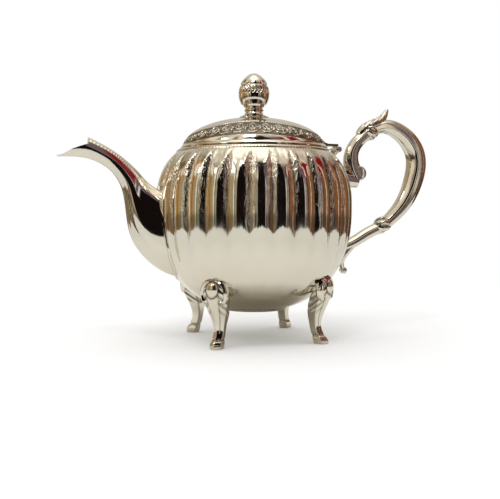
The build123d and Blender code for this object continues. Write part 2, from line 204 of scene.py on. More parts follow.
def bar_points(corners, thick, wide, faces, crisp=26, around=64, along=80, relief=None):
    """A bar along a path in the pot's upright middle plane.

    At each step the section is a rounded polygon, scaled by thick in the plane and wide across it;
    relief, if given, adds a height (angle, way) along the section's own radius.
    """
    path = smooth_path(corners, along)
    way = np.linspace(0, 1, along)
    heading = np.gradient(path, axis=0)
    heading /= np.linalg.norm(heading, axis=1)[:, None]
    upwards = np.stack([-heading[:, 1], heading[:, 0]], -1)
    angle = turns(around)
    radius = soft_polygon(angle, faces, crisp) * np.ones((1, along))
    extra = relief(angle, way[None, :]) if relief else 0
    up = radius * np.cos(angle) * thick(way) + extra * np.cos(angle)
    across = radius * np.sin(angle) * wide(way) + extra * np.sin(angle)
    return closed_ends(sections(path, upwards, up, across))


def bar(name, *shape, relief=None, **choices):
    """The bar as a mesh, with the depth of its relief kept as the mark sunk."""
    points = bar_points(*shape, relief=relief, **choices)
    if relief is None:
        return surface(name, points)
    way = np.linspace(0, 1, points.shape[1] - 2)[None, :]
    depth = np.clip(-relief(turns(len(points)), way), 0, 1)
    return surface(name, points, sunk=np.pad(depth, ((0, 0), (1, 1))))


def closed_ends(points):
    """Close a tube of points (around, along, 3) with a flat face at each end, through its middle."""
    first = np.repeat(points[:, :1].mean(axis=0, keepdims=True), len(points), axis=0)
    last = np.repeat(points[:, -1:].mean(axis=0, keepdims=True), len(points), axis=0)
    return np.concatenate([first, points, last], axis=1)


def turned(name, profile, segments=96, relief=None, closed=False):
    """A profile of (radius, height) carried round the axis; relief adds to the radius at (angle, step)."""
    angle = turns(segments)
    radius = profile[None, :, 0] + (relief(angle, profile) if relief else 0)
    return surface(name, round_axis(radius, profile[None, :, 1], angle), along_wrap=closed)


def roll(name, radius, half, x, z, aside=0.0, around=48):
    """A barrel that lies across the pot, with rounded ends, its axis through (x, z)."""
    edge = min(0.22 * radius, half * 0.4)
    turn = np.linspace(0, math.pi / 2, 7)
    out = np.stack([radius - edge + edge * np.sin(turn), -half + edge - edge * np.cos(turn)], -1)
    profile = np.vstack([[(0.0, -half)], out, (out * [1, -1])[::-1], [(0.0, half)]])
    angle = turns(around)
    r, across = profile[None, :, 0], profile[None, :, 1] + aside
    return surface(name, np.stack([x + r * np.cos(angle), across + 0 * angle, z + r * np.sin(angle)], -1))


def egg_shape(middle, radii, around=40, along=24):
    """Points of an ellipsoid: a ball of radius 1, stretched by three radii and moved to its middle."""
    angle = turns(around)
    rise = np.linspace(-math.pi / 2, math.pi / 2, along)[None, :]
    level = np.cos(rise)
    ball = np.stack([np.sin(rise) + 0 * angle, level * np.cos(angle), level * np.sin(angle)], -1)
    return ball * radii + middle


OCTAGON = regular_faces(8)
print("a section has", len(OCTAGON), "faces unless a piece says otherwise")

# %% [markdown]
# The finish is silver plate polished to a mirror. A real pot is never a perfect mirror: fingers and
# cloths leave a film that dulls it a little in patches, hair-fine polishing lines run over it, and the
# hammered sheet has a slow wave that bends every reflection. Pictures of scratches could be laid over
# it, but noise in the material needs no unwrapping and stays sharp close up. Shader maths is written as
# plain Python, through one small class that wraps a socket.

# %% shader helpers
class Value:
    """A socket that can be added, multiplied and so on; every operator adds one Math node."""

    def __init__(self, shader, socket):
        self.shader = shader
        self.socket = socket

    def math(self, operation, other=None, flip=False):
        """One Math node on this value and another; flip puts the other first."""
        values = [self, other] if other is not None else [self]
        if flip:
            values.reverse()
        return self.shader.node("ShaderNodeMath", {"operation": operation}, dict(enumerate(values)))

    def __add__(self, other):
        return self.math("ADD", other)

    def __radd__(self, other):
        return self.math("ADD", other)

    def __sub__(self, other):
        return self.math("SUBTRACT", other)

    def __rsub__(self, other):
        return self.math("SUBTRACT", other, flip=True)

    def __mul__(self, other):
        return self.math("MULTIPLY", other)

    def __rmul__(self, other):
        return self.math("MULTIPLY", other)

    def __pow__(self, other):
        return self.math("POWER", other)


class Shader:
    """A material under construction; node() adds any node with its settings, then its inputs."""

    def __init__(self, name):
        self.material = bpy.data.materials.new(name)
        self.material.use_nodes = True
        self.tree = self.material.node_tree
        self.bsdf = self.tree.nodes["Principled BSDF"]

    def node(self, kind, settings=None, inputs=None, output=0):
        """A new node; the stops and steps of a ramp are settings too."""
        made = self.tree.nodes.new(kind)
        for key, value in (settings or {}).items():
            if key == "stops":
                ramp = made.color_ramp
                while len(ramp.elements) < len(value):
                    ramp.elements.new(0.5)
                for element, (place, colour) in zip(ramp.elements, value):
                    element.position = place
                    element.color = colour
            elif key == "steps":
                made.color_ramp.interpolation = value
            else:
                setattr(made, key, value)
        for key, value in (inputs or {}).items():
            self.set(made.inputs[key], value)
        return Value(self, made.outputs[output])

    def set(self, socket, value):
        """Link a value to a socket, or write a plain number or colour into it."""
        if isinstance(value, Value):
            self.tree.links.new(value.socket, socket)
        else:
            socket.default_value = value

    def feed(self, **inputs):
        """Set the inputs of the Principled BSDF by name."""
        for key, value in inputs.items():
            self.set(self.bsdf.inputs[key.replace("_", " ")], value)

    def place(self):
        """The point on the piece, in metres."""
        return self.node("ShaderNodeTexCoord", output=3)

    def place_parts(self):
        """The same point as three values: x, y and z."""
        parts = self.node("ShaderNodeSeparateXYZ", {}, {"Vector": self.place()})
        return [Value(self, parts.socket.node.outputs[k]) for k in range(3)]

    def mark(self, name):
        """A mark that a surface carries, such as sunk, from 0 to 1."""
        return self.node("ShaderNodeAttribute", {"attribute_name": name}, output=2)

    def noise(self, scale, detail=3.0, rough=0.55, stretch=None):
        """Cloudy values round 0.5; stretch scales x, y and z, so a small z draws the clouds upwards."""
        point = self.place()
        if stretch:
            point = self.node("ShaderNodeMapping", {}, {"Vector": point, "Scale": stretch})
        knobs = {"Vector": point, "Scale": scale, "Detail": detail, "Roughness": rough}
        return self.node("ShaderNodeTexNoise", {}, knobs)

    def ramp(self, factor, stops, steps="LINEAR"):
        """A colour for each value of the factor, from stops of (place, colour)."""
        return self.node("ShaderNodeValToRGB", {"stops": stops, "steps": steps}, {"Fac": factor})

    def mix(self, factor, first, second):
        """A blend of two colours: the first at 0, the second at 1."""
        return self.node("ShaderNodeMix", {"data_type": "RGBA"}, {0: factor, 6: first, 7: second}, output=2)

    def bump(self, height, strength, distance):
        """A height that tilts the normal; distance is in metres."""
        return self.node("ShaderNodeBump", {}, {"Height": height, "Strength": strength, "Distance": distance})


def grey(level):
    """A colour with its three parts alike."""
    return (level, level, level, 1)


print("a middle grey is written:", grey(0.5))

# %% the silver
SILVER = (0.72, 0.685, 0.60, 1)
DULL_SILVER = (0.64, 0.60, 0.51, 1)
# the colour of the sunk mark: tarnish in the hollows of the relief, and on the legs also a painted shade
# round each boss
TARNISH_AND_SHADE = (0.10, 0.08, 0.055, 1)
CLEAN_ROUGHNESS = 0.045
SCRATCH_ROUGHNESS = 0.03
SUNK_ROUGHNESS = 0.18


def polished(name, wave=0.35, film=0.16, patina_and_shade=False, crumple=0.0):
    """Mirror silver: slow hammered wave, patchy film and fine scratches; wave is in millimetres.

    patina darkens the sunk ground with tarnish, and on the legs it also paints a shade in a ring round
    each boss. crumple adds the fine dents that planishing leaves in the flutes, most of all at their tips,
    where the mark "dented" is high.
    """
    shader = Shader(name)
    film_map = shader.noise(38, 4)
    scratches = shader.noise(900, 2, stretch=(1, 1, 0.12))
    cloud = shader.ramp(film_map, [(0.42, grey(0)), (0.72, grey(1))])
    roughness = CLEAN_ROUGHNESS + cloud * film * 0.5 + scratches * SCRATCH_ROUGHNESS
    colour = shader.mix(cloud * 0.3, SILVER, DULL_SILVER)
    if patina_and_shade:
        sunk = shader.mark("sunk")
        colour = shader.mix(sunk * 0.9, colour, TARNISH_AND_SHADE)
        roughness = roughness + sunk * SUNK_ROUGHNESS
    height = shader.noise(22, 2) + scratches * 0.02
    if crumple:
        hammer_marks = shader.noise(480, 3, 0.6, stretch=(1, 1, 0.35))
        height = height + hammer_marks * shader.mark("dented") * crumple
    shader.feed(
        Base_Color=colour,
        Metallic=1.0,
        Roughness=roughness,
        Normal=shader.bump(height, 0.25, wave * MM),
    )
    return shader.material


silver = polished("mirror_silver")
hammered = polished("hammered_silver", crumple=12.0)
chased = polished("chased_silver", film=0.22, patina_and_shade=True)
cast = polished("cast_silver", wave=0.5, film=0.2, patina_and_shade=True)


def plain_brass():
    """The brass of the screw, washer and nut inside the lid, a little tarnished."""
    shader = Shader("brass_fixings")
    patches = shader.noise(160, 4)
    colour = shader.ramp(patches, [(0.35, (0.42, 0.28, 0.12, 1)), (0.7, (0.72, 0.55, 0.28, 1))])
    shader.feed(Base_Color=colour, Metallic=1.0, Roughness=0.22 + patches * 0.2)
    return shader.material


brass = plain_brass()
print("materials:", len(bpy.data.materials))

# %% [markdown]
# The body is an egg whose side is pushed out into twenty-eight lobes. Smiths hammer the lobes from
# inside over a fluted stake. From the waist up the flutes between them are sharp valleys that close in
# points on the shoulder, and below the waist they soften to a wave that fades towards the feet. They
# could be sculpted, but then no two would match. One formula gives the radius at any height and angle,
# so the surface is worked out on one grid, with a column of points exactly in every valley.

# %% the egg and its lobes
BODY_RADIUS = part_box("body_shell")[1].y / MM
BELLY_Z = 97.0
BASE_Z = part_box("body_base")[0].z / MM
RIM_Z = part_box("body_shell")[1].z / MM
OUTSIDE_REACH = (55.1, 76.5)
INSIDE_REACH = (53.1, 73.8)
POWER_ABOVE = 2.6
POWER_BELOW = 2.3
LOBES = 28
LOBE_STEP = 2 * math.pi / LOBES
LOBE_DEPTH = 3.3
TIPS_START_Z = 121.0
TIP_LENGTH = 15.0
WALL = 1.3
FLOOR = 2.2
BASE_HOLE = 24.0


def egg(z, radius, reach):
    """A superellipse of two halves; reach is how far it goes above and below the belly."""
    rise = np.abs(z - BELLY_Z)
    top = 1 - np.minimum(rise / reach[0], 1) ** POWER_ABOVE
    foot = 1 - np.minimum(rise / reach[1], 1) ** POWER_BELOW
    return radius * np.where(z > BELLY_Z, top ** (1 / POWER_ABOVE), foot ** (1 / POWER_BELOW))


def off_crest(angle):
    """How far round from the nearest crest of a lobe: 0 on the crest, 1 in the valley."""
    return np.abs((angle / LOBE_STEP + 0.5) % 1 - 0.5) * 2


def flute(z, angle):
    """Depth of the flute: a sharp valley that ends in a point above, and a soft wave that fades below."""
    offset = off_crest(angle)
    above = np.maximum(z - TIPS_START_Z, 0) / TIP_LENGTH
    sharp = np.maximum(LOBE_DEPTH * (offset**2.3 - above**2), 0)
    soft = 0.6 * LOBE_DEPTH * ripple(math.pi * offset) * step_up(z, 30, 96)
    blend = step_up(z, 48, 116)
    return sharp * blend + soft * (1 - blend)


def dents(z, angle):
    """Where planishing shows: in the flutes, from a little below the belly to their pointed ends."""
    rows = step_up(z, 84, 108) * step_up(138.5 - z, 0, 7)
    near_tips = 0.2 * step_up(z, 112, 126)
    return rows * (0.04 + 0.96 * step_up(off_crest(angle) + near_tips, 0.48, 0.85))


def body_points():
    """The shell as one closed profile carried round: outside up, over the rim, inside down, base hole."""
    outer_z = np.r_[np.linspace(BASE_Z, 118, 74), np.linspace(118.4, RIM_Z, 40)]
    inner_z = np.linspace(RIM_Z, BASE_Z + FLOOR, 30)
    inner_r = egg(inner_z, BODY_RADIUS - LOBE_DEPTH - WALL, INSIDE_REACH)
    angle = turns(LOBES * 16) + LOBE_STEP / 2
    outer_r = egg(outer_z, BODY_RADIUS, OUTSIDE_REACH) - flute(outer_z[None, :], angle)
    rest_r = np.r_[inner_r, BASE_HOLE, BASE_HOLE]
    rest_z = np.r_[inner_z, BASE_Z + FLOOR, BASE_Z]
    radius = np.concatenate([outer_r, np.repeat(rest_r[None, :], len(angle), 0)], 1)
    height = np.r_[outer_z, rest_z][None, :]
    dented = np.pad(dents(outer_z[None, :], angle), ((0, 0), (0, len(rest_r))))
    return round_axis(radius, height, angle), dented


shell_points, shell_dents = body_points()
shell = surface("melon_body", shell_points, along_wrap=True, dented=shell_dents)
piece("melon_body", [shell], "pot", hammered, "body_shell", "body_base")

# %% [markdown]
# A collar is soldered round the mouth. Its outside carries a fine row of punched beads, which catches
# the light just under the lid. Beads could be small balls in a ring. Here they are ripples of the
# collar's own surface, because a punch pushes them up from the same metal.

# %% the mouth ring
RING_TOP_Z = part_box("mouth_ring")[1].z / MM
RING_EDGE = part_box("mouth_ring")[1].y / MM
MOUTH_RADIUS = 50.0
SLEEVE_WALL = 1
SLEEVE_DEPTH = 5
BEADS = 168
BEAD_HEIGHT = 0.16


def ring_profile():
    """The collar's outline: a rounded shoulder outside, then the sleeve that hangs in the mouth."""
    corners = [
        (RING_EDGE, RIM_Z),
        (RING_EDGE - 0.4, RIM_Z + 1.2),
        (RING_EDGE - 1.3, RIM_Z + 2.1),
        (RING_EDGE - 2.6, RING_TOP_Z),
    ]
    sleeve = [
        (MOUTH_RADIUS, RING_TOP_Z),
        (MOUTH_RADIUS, RIM_Z - SLEEVE_DEPTH),
        (MOUTH_RADIUS + SLEEVE_WALL, RIM_Z - SLEEVE_DEPTH),
        (MOUTH_RADIUS + SLEEVE_WALL, RIM_Z),
    ]
    return np.vstack([smooth_path(corners, 14), sleeve])


def beads(angle, profile):
    """A row of round bumps: ripples round the rim times a narrow bell in height, on the outside only."""
    row = bell(profile[:, 1], RIM_Z + 1.15, 0.75) * (profile[:, 0] > MOUTH_RADIUS + 3)
    return -BEAD_HEIGHT * row[None, :] * ripple(angle * BEADS)


ring = turned("mouth_collar", ring_profile(), 6 * BEADS, beads, closed=True)
piece("mouth_collar", [ring], "pot", silver, "mouth_ring")

# %% [markdown]
# The spout is a hollow swan neck made from two pressed halves. Its roof is narrow, with a fine roped
# line along each edge, its cheeks are flat and its throat is ribbed where it widens to the root. A pipe
# with a bevel would be round all the way, so each cross-section is a rounded polygon, and a table of a
# few stations gives where the underside and the roof run. A cutter opens the beak at the tip.

# %% the spout
# each station: underside out and up, roof out and up, half the width
SPOUT_STATIONS = np.array([
    (52.0, 45.0, 54.0, 106.0, 15.4),
    (66.0, 49.3, 67.0, 109.3, 16.0),
    (80.5, 59.5, 74.5, 112.3, 14.8),
    (91.0, 74.5, 80.0, 116.6, 12.6),
    (95.3, 95.0, 85.0, 122.0, 10.2),
    (98.6, 112.5, 90.5, 127.4, 8.4),
    (104.5, 122.3, 98.0, 133.6, 7.2),
    (112.5, 128.2, 107.0, 139.5, 6.8),
    (121.5, 131.6, 119.5, 145.8, 7.0),
    (131.5, 132.6, 129.5, 148.0, 6.4),
    (142.0, 132.4, 141.5, 146.0, 3.4),
])
SPOUT_WALL = 1.4
SPOUT_HALF = [(35, 0.95), (68, 0.87), (102, 0.95), (140, 0.94)]
SPOUT_FACES = [(0, 0.97), (math.pi, 0.98)]
SPOUT_FACES += [(sign * math.radians(turn), distance) for turn, distance in SPOUT_HALF for sign in (-1, 1)]
SPOUT_CRISP = 30
RIB_HEIGHT = 1.5
ROPE_HEIGHT = 0.3
ROPE_ANGLE = 0.75
ROPE_TWISTS = 72


def throat_ribs(angle, way):
    """Ribs fan out under the neck as ripples, and a fine roped line runs down each roof edge."""
    under = step_up(np.abs(angle / math.pi - 1), 0.56, 0.36)
    along = step_up(way, 0.12, 0.32) * step_up(way, 0.68, 0.50)
    ribs = under * along * ripple(angle * 10) ** 1.5
    from_roof = np.minimum(angle, 2 * math.pi - angle)
    twists = ripple(way * 2 * math.pi * ROPE_TWISTS) * step_up(way, 0.3, 0.4)
    return -RIB_HEIGHT * ribs - ROPE_HEIGHT * bell(from_roof, ROPE_ANGLE, 0.09) * twists


def spout_points(inset, around=140, along=300):
    """Each section: middle + up * radius * cos(angle) + across * radius * sin(angle), inset all round."""
    rows = smooth_path(SPOUT_STATIONS, along)
    low = np.stack([-rows[:, 0], rows[:, 1]], -1)
    high = np.stack([-rows[:, 2], rows[:, 3]], -1)
    middle = (low + high) / 2
    reach = np.linalg.norm(high - low, axis=1) / 2
    upwards = (high - middle) / reach[:, None]
    angle = turns(around)
    radius = soft_polygon(angle, SPOUT_FACES, SPOUT_CRISP)
    rib = throat_ribs(angle, np.linspace(0, 1, along)[None, :])
    up = radius * np.cos(angle) * (reach - inset) + rib * np.cos(angle)
    across = radius * np.sin(angle) * (rows[:, 4] - inset) + rib * np.sin(angle)
    return sections(middle, upwards, up, across)


def spout_mesh():
    """Outside and inside skins, joined round both ends into one closed wall."""
    outer = spout_points(0)
    inner = spout_points(SPOUT_WALL)
    wall = np.concatenate([outer, inner[:, ::-1]], axis=1)
    return surface("spout_blank", wall, along_wrap=True)


def prism(name, corners, half_width):
    """A closed block with its outline in the upright middle plane."""
    work = bmesh.new()
    near = [work.verts.new((x * MM, -half_width * MM, z * MM)) for x, z in corners]
    far = [work.verts.new((x * MM, half_width * MM, z * MM)) for x, z in corners]
    work.faces.new(near)
    work.faces.new(far[::-1])
    for k in range(len(corners)):
        n = (k + 1) % len(corners)
        work.faces.new((near[k], far[k], far[n], near[n]))
    bmesh.ops.recalc_face_normals(work, faces=work.faces)
    mesh = bpy.data.meshes.new(name)
    work.to_mesh(mesh)
    work.free()
    return mesh


def cut(mesh, *cutters):
    """The mesh with each cutter taken away by a Boolean modifier; the cutters are removed after use."""
    thing = bpy.data.objects.new("blank", mesh)
    bpy.context.scene.collection.objects.link(thing)
    tools = []
    for cutter in cutters:
        tool = bpy.data.objects.new("cutter", cutter)
        bpy.context.scene.collection.objects.link(tool)
        modifier = thing.modifiers.new("cut", "BOOLEAN")
        modifier.operation = "DIFFERENCE"
        modifier.solver = "EXACT"
        modifier.object = tool
        tools.append(tool)
    bpy.context.view_layer.update()
    evaluated = thing.evaluated_get(bpy.context.evaluated_depsgraph_get())
    result = bpy.data.meshes.new_from_object(evaluated)
    for extra in [thing, *tools]:
        old = extra.data
        bpy.data.objects.remove(extra)
        bpy.data.meshes.remove(old)
    result.set_sharp_from_angle(angle=CREASE)
    return result


BEAK_OPENING = [(-120.7, 160), (-120.7, 141.6), (-127, 139.5), (-132, 137.6)]
BEAK_OPENING += [(-138.3, 134.2), (-150, 131.6), (-150, 160)]
spout_skin = cut(spout_mesh(), prism("beak", BEAK_OPENING, 20))
piece("swan_spout", [spout_skin], "pot", silver, "spout_shell")

# %% [markdown]
# The lid is a shallow dome with a rolled rim. A wide band of flowers and scrolling leaves is chased
# into it: the chaser sinks the ground with punches, so the motifs stand up and the ground goes dark.
# The band rises in an arch on the front and the back. A bump map would shine the same all over, so the
# relief is a real height field over the dome, built from repeats round the axis, and the depth of the
# ground is kept as a mark for the finish to darken.

# %% the lid dome
LID_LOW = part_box("lid_dome")[0].z / MM
LID_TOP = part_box("lid_dome")[1].z / MM
LID_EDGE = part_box("lid_dome")[1].y / MM
DOME_RADIUS = 53.0
DOME_BASE = LID_LOW + 0.2
DOME_HEIGHT = LID_TOP - DOME_BASE
LID_WALL = 1.3
LID_INSIDE = LID_LOW + 1.2
BAND_REPEATS = 30
BAND_FRONT = math.radians(-107)
BAND_DEPTH = 0.6


def chasing(angle, way):
    """The floral band: way runs 0 at the rim to 1 at the finial. Returns raised (0 to 1) and the band.

    The band swings up in an arch on the front and the back, and narrows down to the rim between them.
    """
    swing = np.cos(2 * (angle - BAND_FRONT))
    # u and v run from -1 to 1 over one repeat, with the flower in its middle
    u = (angle / (2 * math.pi) * BAND_REPEATS) % 1 * 2 - 1
    v = (way - 0.25 - 0.11 * swing) / (0.12 + 0.04 * swing)
    # the flower has five petals, a sunk ring and a raised heart
    r = np.hypot(u, v)
    petal_edge = 0.46 * (0.66 + 0.34 * np.cos(5 * np.arctan2(v, u) + math.pi / 2))
    flower = step_up(petal_edge - r, 0, 0.06) - 0.8 * step_up(0.13 - r, 0, 0.05)
    flower = flower + 0.7 * step_up(0.07 - r, 0, 0.03)
    # a coil of two spirals and a wavy upright leaf fill the gap between two flowers
    gap = 1 - np.abs(u)
    reach = np.hypot(gap, v)
    coil = step_up(np.cos(13 * reach - 2 * np.arctan2(v, gap)), 0.15, 0.75) * step_up(0.95 - reach, 0, 0.1)
    stem = 0.3 * np.sin(3.2 * v) * np.sign(u)
    leaf_half = 0.13 * (1 - (v / 0.95) ** 2) * (1 + 0.4 * np.cos(20 * v))
    leaf = step_up(leaf_half - np.abs(gap - stem), 0, 0.05)
    outside_flower = step_up(r - petal_edge, 0.02, 0.08)
    raised = np.maximum(flower, outside_flower * np.maximum(0.75 * coil, leaf))
    band = step_up(1.12 - np.abs(v), 0, 0.06)
    return np.clip(raised, 0, 1) * band, band


def dome_points(around=800):
    """The outside: a quarter ellipse carried round, sunk along its own normal where nothing is raised."""
    way = np.r_[0.045, np.linspace(0.05, 0.55, 64), np.linspace(0.57, 1, 15)]
    slope = way * math.pi / 2
    r = DOME_RADIUS * np.cos(slope)
    z = DOME_BASE + DOME_HEIGHT * np.sin(slope)
    angle = turns(around)
    raised, band = chasing(angle, way[None, :])
    lift = (raised - 1) * BAND_DEPTH * band
    nr = np.cos(slope) / DOME_RADIUS
    nz = np.sin(slope) / DOME_HEIGHT
    size = np.hypot(nr, nz)
    return r + lift * nr / size, z + lift * nz / size, angle, (1 - raised) * band


def lid_mesh():
    """Outside dome with relief, then the rolled rim, then the plain inside, as one skin."""
    radius, height, angle, sunk = dome_points()
    rim_corners = [
        (LID_EDGE - 1.5, LID_LOW + 2.9),
        (LID_EDGE - 0.9, LID_LOW + 1.9),
        (LID_EDGE - 0.1, LID_LOW + 1.0),
        (LID_EDGE - 0.15, LID_LOW),
    ]
    rim = smooth_path(rim_corners, 12)
    inside_radius = DOME_RADIUS - LID_WALL
    slope = np.linspace(0, math.pi / 2, 24)
    inside_z = LID_INSIDE + (LID_TOP - LID_WALL - LID_INSIDE) * np.sin(slope)
    under = np.vstack([[(inside_radius, LID_LOW)], np.stack([inside_radius * np.cos(slope), inside_z], -1)])
    plain = np.repeat(np.vstack([under[::-1], rim[::-1]])[None], len(angle), 0)
    all_r = np.concatenate([plain[..., 0], radius], 1)
    all_z = np.concatenate([plain[..., 1], height], 1)
    all_sunk = np.pad(sunk, ((0, 0), (plain.shape[1], 0)))
    return surface("lid_dome_skin", round_axis(all_r, all_z, angle), sunk=all_sunk)


piece("chased_lid", [lid_mesh()], "lid", chased, "lid_dome")

# %% [markdown]
# The finial is an acorn: a rosette foot, a waisted stem, a cup with a braid of slanting leaves and a
# smooth pointed cap. All of it is turned on a lathe, so each piece is a profile carried round the axis.
# A Screw modifier would turn it too, but it has no place for the petals and the braid.

# %% the finial
ROSETTE_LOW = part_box("knob_rosette")[0].z / MM
FINIAL_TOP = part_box("knob_cap")[1].z / MM
BRAID_Z = 183.4
BRAID_LEAVES = 26
BRAID_DEPTH = 0.55
PETAL_DEPTH = 0.9


def petals(angle, profile):
    """Twelve petals: the flare's edge is drawn in between them by a high power of a sine."""
    flare = step_up(profile[:, 0], 7.2, 11.0)
    return -PETAL_DEPTH * flare[None, :] * np.abs(np.sin(angle * 6)) ** 6


def braid(angle, profile):
    """A braid round the upper half of the cup: two rows of slanting leaves that meet on a level line."""
    height = profile[None, :, 1] - BRAID_Z
    band = np.exp(-((height / 2.6) ** 8)) * (profile[None, :, 0] > 5)
    leaves = ripple(angle * BRAID_LEAVES + np.abs(height) * 1.3)
    return -BRAID_DEPTH * band * np.maximum(leaves**2, bell(height, 0, 0.3))


rosette_profile = np.vstack([
    [(0.0, 163.4), (10.2, ROSETTE_LOW)],
    smooth_path([(11.2, 163.9), (9.2, 164.9), (7.4, 166.0), (6.8, 167.0)], 16),
    [(0.0, 167.0)],
])
stem_profile = np.vstack([
    [(0.0, 167.0)],
    smooth_path([(6.8, 167.0), (6.4, 168.2), (7.3, 169.1), (6.4, 170.1), (7.2, 171.8)], 24),
    [(0.0, 171.8)],
])
cup_profile = np.vstack([
    [(0.0, 171.8), (7.6, 171.8), (8.0, 173.1)],
    smooth_path([(9.3, 173.6), (10.5, 176.0), (11.3, 179.0), (11.3, 182.4), (10.8, 185.2), (9.8, 187.2)], 72),
    [(9.2, 187.4), (0.0, 187.4)],
])
cap_profile = np.vstack([
    [(0.0, 187.4), (9.1, 187.4)],
    smooth_path([(9.8, 188.4), (9, 190.2), (7.2, 192.3), (4.8, 194.4), (2.2, 195.8), (0, FINIAL_TOP)], 30),
])
piece("finial_rosette", [turned("rosette", rosette_profile, 144, petals)], "lid", chased, "knob_rosette")
piece("finial_stem", [turned("stem", stem_profile, 72)], "lid", silver, "knob_stem")
piece("finial_cup", [turned("cup", cup_profile, 352, braid)], "lid", chased, "knob_cup")
piece("finial_cap", [turned("cap", cap_profile, 96)], "lid", silver, "knob_cap")

# %% [markdown]
# The handle is cast: a faceted C with a knuckle at each end, carried by an S-shaped branch above and
# a straight arm below, with a leaf for the thumb on top. A curve with a bevel would be as thick all the
# way, so each part is a bar: a smooth path through a few corners in the pot's middle plane, and two
# formulas for how thick and how wide the section is from 0 at its start to 1 at its end.

# %% the handle
GRIP_PATH = [(96.5, 157.8), (106.6, 160.6), (117.5, 157.6), (127.4, 150.0), (133.2, 140.6), (134.5, 131.0)]
GRIP_PATH += [(132.2, 119.0), (127.4, 107.0), (119.6, 95.8), (107.6, 84.6)]

grip = bar(
    "grip", GRIP_PATH,
    lambda t: 4.6 + 2.86 * np.sin(math.pi * t) ** 1.3,
    lambda t: 4.8 + 2.7 * np.sin(math.pi * t),
    OCTAGON, along=160,
)
piece("cast_grip", [grip], "pot", cast, "handle_grip")


def crossed_leaves(angle, way):
    """Facets that cross the knuckle on a slant, as cast leaves do, fading at both ends."""
    return -0.9 * np.sin(math.pi * way) * ripple(5 * angle + 8 * way) ** 1.5


collar = bar(
    "collar", [(90.5, 153.8), (94.0, 156.2), (97.5, 158.4)],
    lambda t: 5.4 + 1.4 * np.sin(math.pi * t),
    lambda t: 5.2 + 1.3 * np.sin(math.pi * t),
    OCTAGON, around=120, along=48, relief=crossed_leaves,
)
piece("grip_collar", [collar], "pot", cast, "handle_collar")

branch = bar(
    "branch", [(83.0, 120.5), (78.9, 129.5), (78.6, 138.5), (83.0, 147.2), (91.0, 154.2)],
    lambda t: 6.9 - 2.4 * np.sin(math.pi * t / 2),
    lambda t: 5.4 - 0.6 * t,
    OCTAGON,
)
foot_roll = roll("foot_roll", 5.6, 5.0, 84.0, 123.8)
piece("s_branch", [branch, foot_roll], "pot", cast, "handle_branch")

socket = bar(
    "socket", [(66, 120.6), (75, 119.3), (83.5, 118.2)],
    lambda t: 7.0 - 1.6 * t,
    lambda t: 6.6 - 1.6 * t,
    OCTAGON, along=12,
)
piece("branch_socket", [socket], "pot", cast, "handle_socket")

knuckle = bar(
    "knuckle", [(110.5, 87.4), (105.5, 84.0), (100.6, 80.6)],
    lambda t: 4.6 + 1.7 * np.sin(math.pi * t),
    lambda t: 4.6 + 1.6 * np.sin(math.pi * t),
    OCTAGON, around=120, along=48, relief=crossed_leaves,
)
piece("arm_knuckle", [knuckle], "pot", cast, "handle_knuckle")

arm = bar(
    "arm", [(101.8, 81.4), (92.0, 77.0), (81.0, 70.8), (68.0, 66.0)],
    lambda t: 4.4 - 0.4 * t,
    lambda t: 4.6 - 0.2 * t,
    OCTAGON, along=40,
)
tail = bar(
    "tail", [(79.5, 69.0), (74.0, 62.0), (70.9, 55.4), (71.6, 49.8)],
    lambda t: 3.4 - 1.8 * t,
    lambda t: 3.8 - 1.4 * t,
    OCTAGON, along=40,
)
scroll = roll("tail_scroll", 2.5, 2.5, 72.3, 48.8)
piece("lower_arm", [arm, tail, scroll], "pot", cast, "handle_arm")


def leaf_veins(angle, way):
    """Veins that slant back from the midrib: ripples round the section, deepest half-way along."""
    side = np.sign(np.sin(angle))
    return -0.45 * np.sin(math.pi * way) * ripple(6 * angle + 26 * way * side) ** 2


leaf = bar(
    "leaf", [(84.5, 153.6), (90.0, 158.9), (97.0, 162.2), (103.0, 165.4), (106.4, 169.2), (108.8, 173.8)],
    lambda t: 2.4 + 2.0 * np.sin(math.pi * t) ** 0.7 - 1.4 * t,
    lambda t: 3.4 + 2.8 * np.sin(math.pi * t) - 2.0 * t,
    OCTAGON, along=110, relief=leaf_veins,
)
piece("acanthus_leaf", [leaf], "pot", cast, "handle_leaf")

# %% [markdown]
# Four cabriole legs are cast from one pattern. A crest runs down the front, the knee spreads on the
# body with an oval boss between two C-scrolls, and the toe turns out. One leg could be drawn and copied
# three times, but a finished piece sits unturned at the origin, so each leg's points are worked out in
# its own plane and turned to their place before they become a mesh.

# %% the legs
LEG_ANGLES = {
    "leg_handle_left": 45,
    "leg_spout_left": 135,
    "leg_spout_right": 225,
    "leg_handle_right": 315,
}
# each level: its height, its reach from the axis, half its depth and half its width
LEG_LEVELS = np.array([
    (0.0, 55.3, 4.9, 3.9),
    (2.2, 55.2, 5.4, 4.3),
    (5.0, 53.8, 4.8, 4.1),
    (10.0, 51.4, 4.0, 3.8),
    (16.0, 50.6, 4.3, 4.3),
    (22.0, 51.2, 5.4, 6.0),
    (30.0, 53.8, 6.6, 8.6),
    (38.0, 56.4, 6.2, 9.8),
    (44.0, 57.4, 4.6, 8.0),
    (48.0, 58.0, 2.6, 4.0),
])
LEG_FACES = [(math.radians(turn), distance) for turn, distance in (
    (32, 0.84), (-32, 0.84), (100, 0.98), (-100, 0.98), (180, 1.0),
)]
LEG_CRISP = 16
BOSS_Z = 41.4
SCROLL_PATH = [(2.6, 47.2), (6.4, 45.4), (8.8, 41.0), (8.9, 36.0), (7.0, 32.6), (5.2, 33.6), (5.6, 35.8)]
SCROLL_REACH = 57.2


